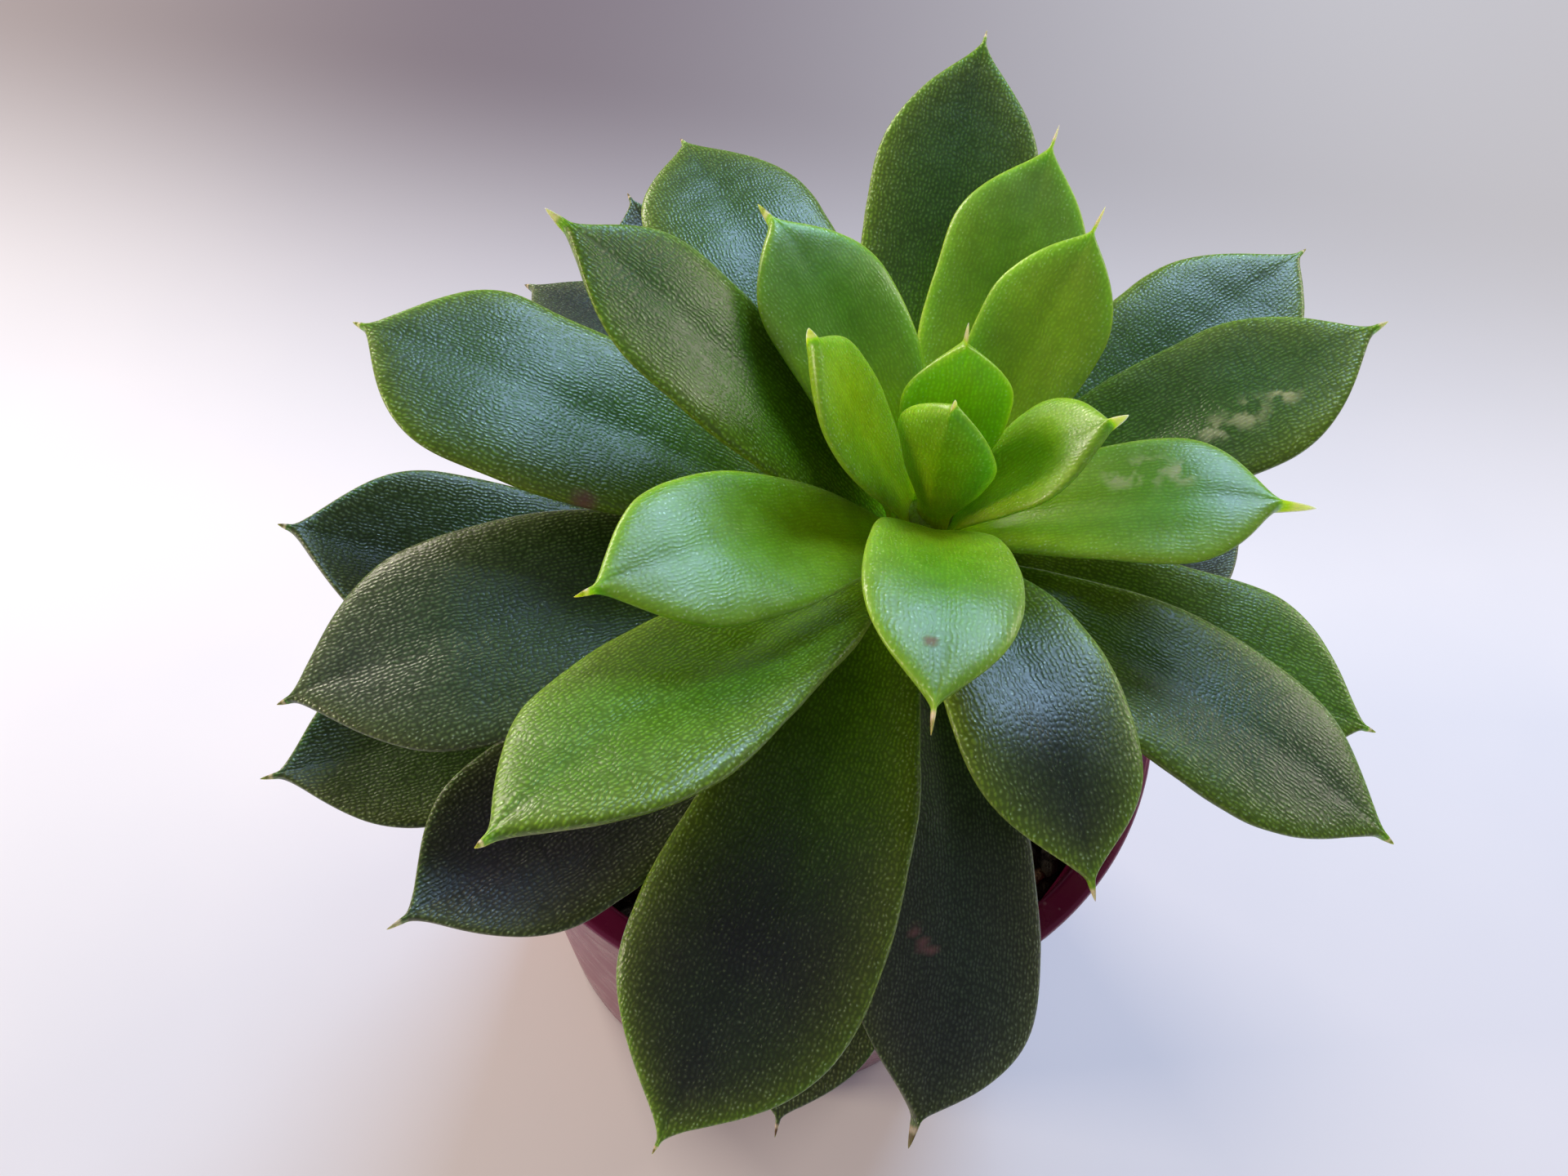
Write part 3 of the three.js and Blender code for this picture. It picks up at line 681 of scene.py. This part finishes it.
def midrib(leaf, t):
    """Places and directions along the midrib, an arc whose slope and heading change evenly along it.
    Below t = 0 it runs straight on into the stem. Returns place, along, left and upper face."""
    steps = 400
    share = (np.arange(steps) + 0.5) / steps

    def direction(at):
        at = np.maximum(at, 0)
        slope = np.radians(leaf["rise"] + (leaf["tip_rise"] - leaf["rise"]) * at)
        heading = np.radians(leaf["heading"] + leaf["turn"] * at)
        flat = np.cos(slope)
        return np.stack([flat * np.cos(heading), flat * np.sin(heading), np.sin(slope)], axis=-1), heading

    walked = np.cumsum(direction(share)[0], axis=0) * leaf["length"] / steps
    walked = np.concatenate([np.zeros((1, 3)), walked])
    stops = np.linspace(0, 1, steps + 1)
    path = np.stack([np.interp(t, stops, walked[:, axis]) for axis in range(3)], axis=-1)
    along, heading = direction(t)
    path += np.minimum(t, 0)[:, None] * leaf["length"] * along

    toward = math.radians(leaf["heading"])
    reach = stem_radius(leaf["height"]) + JOINT_GAP
    root = stem_centre(leaf["height"]) + reach * np.array([math.cos(toward), math.sin(toward), 0])
    left = np.stack([-np.sin(heading), np.cos(heading), 0 * heading], axis=-1)
    face = np.cross(along, left)
    roll = math.radians(leaf["roll"])
    return (
        root + path,
        along,
        math.cos(roll) * left + math.sin(roll) * face,
        math.cos(roll) * face - math.sin(roll) * left,
    )


def leaf_surface(leaf, seed):
    """The leaf's skin as a grid of points, rings along the midrib and points round each. A section is
    a flattened oval with blunt margins, bent up at both sides into a channel that is deep near the
    joint and all along old leaves and shallow elsewhere, with a faint groove above the midrib and a
    keel below it. A slow ripple makes the skin uneven."""
    inset = LEAF_INSET / leaf["length"]
    spread = (1 - np.cos(math.pi * np.linspace(0, 1, LEAF_RINGS))) / 2
    t = -inset + (1 - 1e-4 + inset) * spread
    theta = np.linspace(0, 2 * math.pi, LEAF_SIDES, endpoint=False)[None, :]
    across, up = np.cos(theta), np.sin(theta)
    path, _, left, face = midrib(leaf, t)

    wave = 0.012 * np.sin(9 * t + seed) + 0.008 * np.sin(23 * t + 2.3 * seed)
    half = (half_width(leaf, t) * (1 + wave * smooth_step(0.1, 0.4, t)))[:, None]
    thick = thickness(leaf, t)[:, None]
    share = np.where(up > 0, UPPER_SHARE, 1 - UPPER_SHARE)
    flatness = np.where(up > 0, UPPER_FLATNESS, LOWER_FLATNESS)
    blunt = np.sign(up) * (1 - np.abs(across) ** flatness).clip(0) ** 0.5
    flatter = smooth_step(0.38, 0.75, t)[:, None] * (1 - smooth_step(20, 26, leaf["place"]))
    channel = BASE_CHANNEL + (BLADE_CHANNEL - BASE_CHANNEL) * flatter
    channel = channel + END_CHANNEL * smooth_step(0.65, 1.0, t)[:, None]
    middle = np.exp(-((across / 0.16) ** 2)) * smooth_step(0.0, 0.3, t)[:, None]
    keel = KEEL - KEEL_FADING * leaf["age"]
    lift = channel * half * (2 * across**2 - 1) + thick * share * blunt
    lift += thick * middle * np.where(up > 0, -GROOVE, -keel)

    left, face = left[:, None, :], face[:, None, :]
    grid = path[:, None, :] + (half * across)[..., None] * left + lift[..., None] * face
    outward = unit((across / half)[..., None] * left + (up / thick)[..., None] * face)
    flat = grid.reshape(-1, 3)
    uneven = WAVES * ripple(flat, WAVE_SIZE, seed) + DIMPLES * ripple(flat, DIMPLE_SIZE, seed + 500)
    body = np.clip(half / 1.5, 0, 1) * np.ones_like(across)
    grid = grid + outward * (uneven.reshape(body.shape) * body)[..., None]
    return grid, t, half, across, up


def leaf_fields(leaf, seed, t, half, across, up, grid):
    """The fields that the leaf's material reads, one row for each point and one for each end.
    skin: millimetres across the skin from the midrib, millimetres along it, and nothing.
    growth: how near the margin, share of the way along, and the blade's age and painted light: above 0
    it darkens, below 0 it lightens."""
    steps = np.linalg.norm(np.roll(grid, -1, axis=1) - grid, axis=2)
    quarter = LEAF_SIDES // 4
    round_from_left = np.concatenate([np.zeros((len(t), 1)), np.cumsum(steps, axis=1)[:, :-1]], axis=1)
    crest = round_from_left[:, quarter][:, None]
    keel = round_from_left[:, 3 * quarter][:, None]
    upper = crest - round_from_left
    lower = round_from_left - keel
    whole = steps.sum(axis=1)[:, None]
    lower = np.where(lower > whole / 2, lower - whole, lower)
    across_skin = np.where(up >= 0, upper, lower) + 0 * upper
    along_skin = (t * leaf["length"])[:, None] + 0 * upper
    inward = half * (1 - np.abs(across))
    margin = np.exp(-inward / MARGIN_FALLOFF) * smooth_step(0.0, 0.2, t)[:, None]
    skin = np.stack([across_skin + SKIN_SHIFT * seed, along_skin, 0 * margin], axis=-1)
    growth = np.stack([margin, t[:, None] + 0 * margin, leaf["dusk"] + 0 * margin], axis=-1)
    return skin, growth


def leaf_marks(leaf, t, half, across, up):
    """Scars, pale patches and the point, as a field; the pale patches on place 12 are a painted
    highlight.
    The point's value is 0.5 where it is pale and 1 where it is dry."""
    side = half * across
    far = t[:, None] * leaf["length"]
    scar, pale_patch = 0 * side, 0 * side
    for kind, way, aside, size in MARKS_AND_PAINTED_HIGHLIGHTS.get(leaf["place"], ()):
        gap = np.hypot(far - way * leaf["length"], side - aside * leaf["width"] / 2)
        blot = np.exp(-((gap / size) ** 4)) * (up > -0.2)
        if kind == "scar":
            scar = np.maximum(scar, blot)
        else:
            pale_patch = np.maximum(pale_patch, blot)
    from_end = (1 - t)[:, None] * leaf["length"] + 0 * side
    reach = leaf["point_length"]
    point = (0.5 + 0.5 * leaf["dry"]) * (1 - smooth_step(0.4 * reach, 1.1 * reach, from_end))
    return np.stack([scar, pale_patch, point], axis=-1)


def build_leaf(number, habit):
    """One leaf: its skin, its material by age, and the fields that the material reads."""
    leaf = grow_leaf(habit)
    seed = leaf["place"] + 1
    grid, t, half, across, up = leaf_surface(leaf, seed)
    points, faces = skinned(grid)
    place = leaf["place"]
    if place < GROWN_PLACE:
        slot, material = "young_leaf", YOUNG_LEAF
    elif place < OLD_PLACE:
        slot, material = "grown_leaf", GROWN_LEAF
    else:
        slot, material = "old_leaf", OLD_LEAF
    node = f"leaf_{number:02d}"
    piece = new_piece(node + "_flesh", points, faces, material)
    skin, growth = leaf_fields(leaf, seed, t, half, across, up, grid)
    marks = leaf_marks(leaf, t, half, across, up)
    for name, field in (("skin", skin), ("growth", growth), ("marks", marks)):
        ends = field[[0, -1]].mean(axis=1)
        write_field(piece, name, np.concatenate([field.reshape(-1, 3), ends]))
    place_on_frame(piece, node)


# ---- Pot ----
def arc(centre, radius, start, stop, steps):
    """Points on an arc, as (radius, height). Angles are in degrees from straight out."""
    angle = np.radians(np.linspace(start, stop, steps))
    return [(centre[0] + radius * math.cos(a), centre[1] + radius * math.sin(a)) for a in angle]


def line(start, stop, steps):
    """Evenly spaced points from start up to but not on stop."""
    share = np.arange(steps) / steps
    return [(start[0] + (stop[0] - start[0]) * k, start[1] + (stop[1] - start[1]) * k) for k in share]


def build_pot():
    """The pot's wall, rim and floor as a turned profile, with the drain holes bored through it. The
    lip, the band's shoulder and the foot are quarter rounds."""
    band_foot = POT_HEIGHT - RIM_BAND
    band = RIM_RADIUS - BAND_TAPER
    mouth = RIM_RADIUS - LIP_WIDTH
    shoulder = band - BAND_STEP
    floor_top = GROOVE_DEPTH + WALL
    foot_inside = FOOT_RADIUS - FOOT_WIDTH
    floor_wall = FOOT_RADIUS + (shoulder - FOOT_RADIUS) * floor_top / band_foot - WALL
    ease, slant = 0.6, 0.6
    profile = [(0, 0)]
    profile += line((0.5, 0), (PAD_RADIUS, 0), 6)
    profile += line((PAD_RADIUS, 0), (PAD_RADIUS + slant, GROOVE_DEPTH), 4)
    profile += line((PAD_RADIUS + slant, GROOVE_DEPTH), (foot_inside - slant, GROOVE_DEPTH), 12)
    profile += line((foot_inside - slant, GROOVE_DEPTH), (foot_inside, 0), 4)
    profile += line((foot_inside, 0), (FOOT_RADIUS - ease, 0), 3)
    profile += arc((FOOT_RADIUS - ease, ease), ease, -90, -8, 6)
    profile += line((FOOT_RADIUS + 0.1, ease + 0.3), (shoulder, band_foot - 0.3), 40)
    profile += arc((shoulder + 0.35, band_foot - 0.05), 0.35, 180, 90, 5)
    profile += arc((band - 0.4, band_foot + 0.7), 0.4, -90, 0, 5)
    profile += line((band, band_foot + 1.1), (RIM_RADIUS - 0.05, POT_HEIGHT - 1.2), 8)
    profile += arc((RIM_RADIUS - ease, POT_HEIGHT - ease), ease, 0, 90, 8)
    profile += line((RIM_RADIUS - ease, POT_HEIGHT), (mouth + ease, POT_HEIGHT), 4)
    profile += arc((mouth + ease, POT_HEIGHT - ease), ease, 90, 180, 8)
    profile += line((mouth, POT_HEIGHT - ease - 0.2), (shoulder - WALL, band_foot), 6)
    profile += line((shoulder - WALL, band_foot), (floor_wall, floor_top), 20)
    profile += line((floor_wall, floor_top), (0, floor_top), 12)
    profile += [(0, floor_top)]
    points, faces = turned(profile, 192)
    pot = new_piece("pot_shell", points, faces, POT_PLASTIC)
    bore_drains(pot, floor_top)
    place_on_frame(pot, "pot")


def bore_drains(pot, floor_top):
    """Cuts the drain holes through the pot's floor."""
    sides = 40
    grids = []
    for i in range(DRAIN_HOLES):
        turn = 2 * math.pi * i / DRAIN_HOLES
        middle = DRAIN_CIRCLE * np.array([math.cos(turn), math.sin(turn)])
        angle = np.linspace(0, 2 * math.pi, sides, endpoint=False)
        rim = middle + DRAIN_RADIUS * np.stack([np.cos(angle), np.sin(angle)], axis=-1)
        rings = [np.column_stack([rim, np.full(sides, z)]) for z in (-1.0, floor_top + 1.0)]
        grids.append(skinned(np.stack(rings)))
    points = np.concatenate([grid[0] for grid in grids])
    faces = []
    for i, (drill, drill_faces) in enumerate(grids):
        faces += [[corner + i * len(drill) for corner in face] for face in drill_faces]
    drills = new_piece("drain_drills", points, faces, POT_PLASTIC)
    cut = pot.modifiers.new("drains", "BOOLEAN")
    cut.operation = "DIFFERENCE"
    cut.solver = "EXACT"
    cut.object = drills
    bpy.context.view_layer.update()
    bored = bpy.data.meshes.new_from_object(pot.evaluated_get(bpy.context.evaluated_depsgraph_get()))
    pot.modifiers.clear()
    pot.data = bored
    bpy.data.objects.remove(drills)
    bored.polygons.foreach_set("use_smooth", np.ones(len(bored.polygons), bool))
    bored.set_sharp_from_angle(angle=math.radians(40))


# ---- Potting mix ----
def mix_height(place):
    """Height of the mix's surface at (n, 2) places: a low cone round the stem with uneven lumps."""
    radius = np.hypot(place[:, 0], place[:, 1])
    reach = inner_radius(MIX_EDGE)
    cone = MIX_CROWN + (MIX_EDGE - MIX_CROWN) * np.clip(radius / reach, 0, 1)
    spot = np.column_stack([place, 0 * radius])
    lumps = 0.32 * ripple(spot, 6.0, 71) + 0.2 * ripple(spot, 2.4, 72) + 0.1 * ripple(spot, 1.1, 73)
    return cone - MIX_SINK + lumps * np.clip((reach - radius) / 2, 0.3, 1)


def inner_radius(height):
    """Radius of the pot's inside at a height."""
    band_foot = POT_HEIGHT - RIM_BAND
    shoulder = RIM_RADIUS - BAND_TAPER - BAND_STEP
    return min(FOOT_RADIUS + (shoulder - FOOT_RADIUS) * height / band_foot - WALL, RIM_RADIUS - LIP_WIDTH)


def build_mix_bed():
    """The bed of fine mix: rings of points outwards over its lumpy top, then down the wall and in
    under it."""
    sides, rings = 180, 90
    angle = np.linspace(0, 2 * math.pi, sides, endpoint=False)
    reach = inner_radius(MIX_EDGE) - 0.1
    floor = GROOVE_DEPTH + WALL + 0.1
    radius = np.linspace(reach, 0.4, rings)
    grid = radius[:, None, None] * np.stack([np.cos(angle), np.sin(angle)], axis=-1)[None]
    top = mix_height(grid.reshape(-1, 2)).reshape(rings, sides)
    top = np.concatenate([grid, top[..., None]], axis=-1)
    low = inner_radius(floor) - 0.1
    side = [(low * k, floor) for k in (0.02, 0.5, 1.0)]
    side += [(inner_radius(z) - 0.1, z) for z in np.linspace(floor + 8, MIX_EDGE - 3, 5)]
    under = np.array([
        np.column_stack([r * np.cos(angle), r * np.sin(angle), np.full(sides, z)]) for r, z in side
    ])
    points, faces = skinned(np.concatenate([under, top]))
    bed = new_piece("potting_mix_bed", points, faces, MIX_DARK_AND_SHADED)
    place_on_frame(bed, "potting_mix")


def scatter_lumps(name, material, count, sizes, flatness, seed):
    """Many small uneven lumps lying on the mix, as one piece. Each is a ball of a few dozen faces,
    stretched, dented and turned at random."""
    random = np.random.default_rng(seed)
    rings, sides = 5, 7
    polar = np.linspace(0.25, math.pi - 0.25, rings)[:, None]
    angle = np.linspace(0, 2 * math.pi, sides, endpoint=False)[None, :]
    ball = np.stack([
        np.sin(polar) * np.cos(angle), np.sin(polar) * np.sin(angle), -np.cos(polar) + 0 * angle
    ], axis=-1)
    ball, ball_faces = skinned(ball)
    radius = (inner_radius(MIX_EDGE) - 1.2) * np.sqrt(random.uniform(0.03, 1, count))
    turn = random.uniform(0, 2 * math.pi, count)
    spot = np.stack([radius * np.cos(turn), radius * np.sin(turn)], axis=-1)
    half = random.uniform(*sizes, count) / 2
    stretch = random.uniform(0.6, 1.3, (count, 1, 3)) * half[:, None, None]
    stretch[..., 2] *= flatness
    dents = 1 + LUMP_UNEVENNESS * random.normal(size=(count, len(ball), 1)).clip(-1.4, 1.4)
    lumps = ball[None] * dents * stretch
    quaternions = unit(random.normal(size=(count, 4)) * np.array([1, 0.35, 0.35, 1]))
    w, x, y, z = quaternions.T
    spin = np.stack([
        np.stack([1 - 2 * (y * y + z * z), 2 * (x * y - z * w), 2 * (x * z + y * w)], axis=-1),
        np.stack([2 * (x * y + z * w), 1 - 2 * (x * x + z * z), 2 * (y * z - x * w)], axis=-1),
        np.stack([2 * (x * z - y * w), 2 * (y * z + x * w), 1 - 2 * (x * x + y * y)], axis=-1),
    ], axis=-2)
    lumps = np.einsum("nij,nkj->nki", spin, lumps)
    lumps[..., :2] += spot[:, None, :]
    lumps[..., 2] += (mix_height(spot) + half * flatness * 0.35)[:, None]
    faces = []
    for i in range(count):
        faces += [[corner + i * len(ball) for corner in face] for face in ball_faces]
    piece = new_piece(name, lumps.reshape(-1, 3), faces, material)
    place_on_frame(piece, "potting_mix")


# ---- Stage, light and camera ----
def build_stage():
    """A wide pale table, darkened towards the back by painted shade, most of all at the back on the left.
    """
    material, graph, shader = new_material("pale_table")
    place = graph.place()
    patch = graph.group(SOFT_PATCHES, {"Place": place, "Size": 60.0})["Patch"]
    parts = graph.add("ShaderNodeSeparateXYZ", {"Vector": place}).outputs
    near = graph.blend(patch, colour(0.88, 0.82, 0.84), colour(0.92, 0.85, 0.86))
    # Painted shade: the far part of the table darkened to a dusky mauve, most of all on the left.
    back_left, back_right = colour(0.145, 0.106, 0.122), colour(0.46, 0.4, 0.37)
    far = graph.blend(graph.remap(parts[0], -0.1, 0.14), back_left, back_right)
    tone = graph.blend(graph.remap(parts[1], 0.03, 0.17), near, far)
    graph.feed(shader.inputs["Base Color"], tone)
    shader.inputs["Roughness"].default_value = 0.6
    half = 2000.0
    corners = np.array([[-half, -half, 0], [half, -half, 0], [half, half, 0], [-half, half, 0]], float)
    table = new_piece("table_top", corners, [[0, 1, 2, 3]], material)


def aim(lamp, target):
    """Turns a light to face a point."""
    lamp.rotation_euler = (Vector(target) - lamp.location).to_track_quat("-Z", "Y").to_euler()


def soft_light(name, at, width, height, watts, tint):
    """A flat soft light at a place in metres, facing the rosette."""
    data = bpy.data.lights.new(name, "AREA")
    data.shape = "RECTANGLE"
    data.size = width
    data.size_y = height
    data.energy = watts
    data.color = tint
    lamp = bpy.data.objects.new(name, data)
    bpy.context.scene.collection.objects.link(lamp)
    lamp.location = at
    aim(lamp, (0, 0, ROSETTE_HEIGHT * MM))


def build_light():
    """Cool sky high up behind, a low warm glow behind on the left, a small warm light on the left, a pale
    one behind on the right, and a dim room all round."""
    soft_light("sky_behind", (0.13, 0.52, 0.6), 0.3, 0.33, 4.5, (0.46, 0.7, 1.0))
    soft_light("low_warm_glow", (-0.5, 0.46, 0.3), 0.3, 0.22, 3.4, (1.0, 0.9, 0.74))
    soft_light("warm_side", (-0.68, -0.1, 0.26), 0.16, 0.16, 2.5, (1.0, 0.88, 0.62))
    soft_light("pale_side", (0.55, 0.4, 0.35), 0.3, 0.3, 1.6, (1.0, 0.92, 0.78))
    world = bpy.data.worlds.new("dim_room")
    world.use_nodes = True
    background = world.node_tree.nodes["Background"]
    background.inputs["Color"].default_value = colour(0.88, 0.83, 1.0)
    background.inputs["Strength"].default_value = 0.25
    bpy.context.scene.world = world
    bpy.context.scene.view_settings.view_transform = "Standard"


def build_camera():
    """A wide lens close above the plant. The rim's centre is placed in the camera's own axes: to the
    right, up and ahead."""
    elevation, roll = math.radians(57.0), math.radians(8.0)
    rim_right, rim_up, rim_ahead = 3.0, -6.4, 112.0
    ahead = Vector((0, math.cos(elevation), -math.sin(elevation)))
    level_up = Vector((0, math.sin(elevation), math.cos(elevation)))
    level_right = Vector((1, 0, 0))
    right = math.cos(roll) * level_right + math.sin(roll) * level_up
    up = math.cos(roll) * level_up - math.sin(roll) * level_right
    eye = Vector((0, 0, POT_HEIGHT)) - rim_right * right - rim_up * up - rim_ahead * ahead
    data = bpy.data.cameras.new("close_view")
    data.sensor_width = 36.0
    data.lens = 27.06
    data.clip_start = 0.005
    camera = bpy.data.objects.new("close_view", data)
    camera.matrix_world = Matrix.Translation(eye * MM) @ Matrix((right, up, -ahead)).transposed().to_4x4()
    bpy.context.scene.collection.objects.link(camera)
    bpy.context.scene.camera = camera


build_camera()
build_light()
build_stage()
build_pot()
build_mix_bed()
scatter_lumps("mix_crumbs", MIX_DARK_AND_SHADED, 900, (0.8, 2.6), 0.8, 11)
scatter_lumps("mix_perlite", PERLITE, 70, (0.7, 1.8), 0.9, 12)
scatter_lumps("mix_bark_chips", BARK_CHIP, 110, (1.6, 4.2), 0.3, 13)
build_stem()
for number, habit in enumerate(HABITS, start=1):
    build_leaf(number, habit)
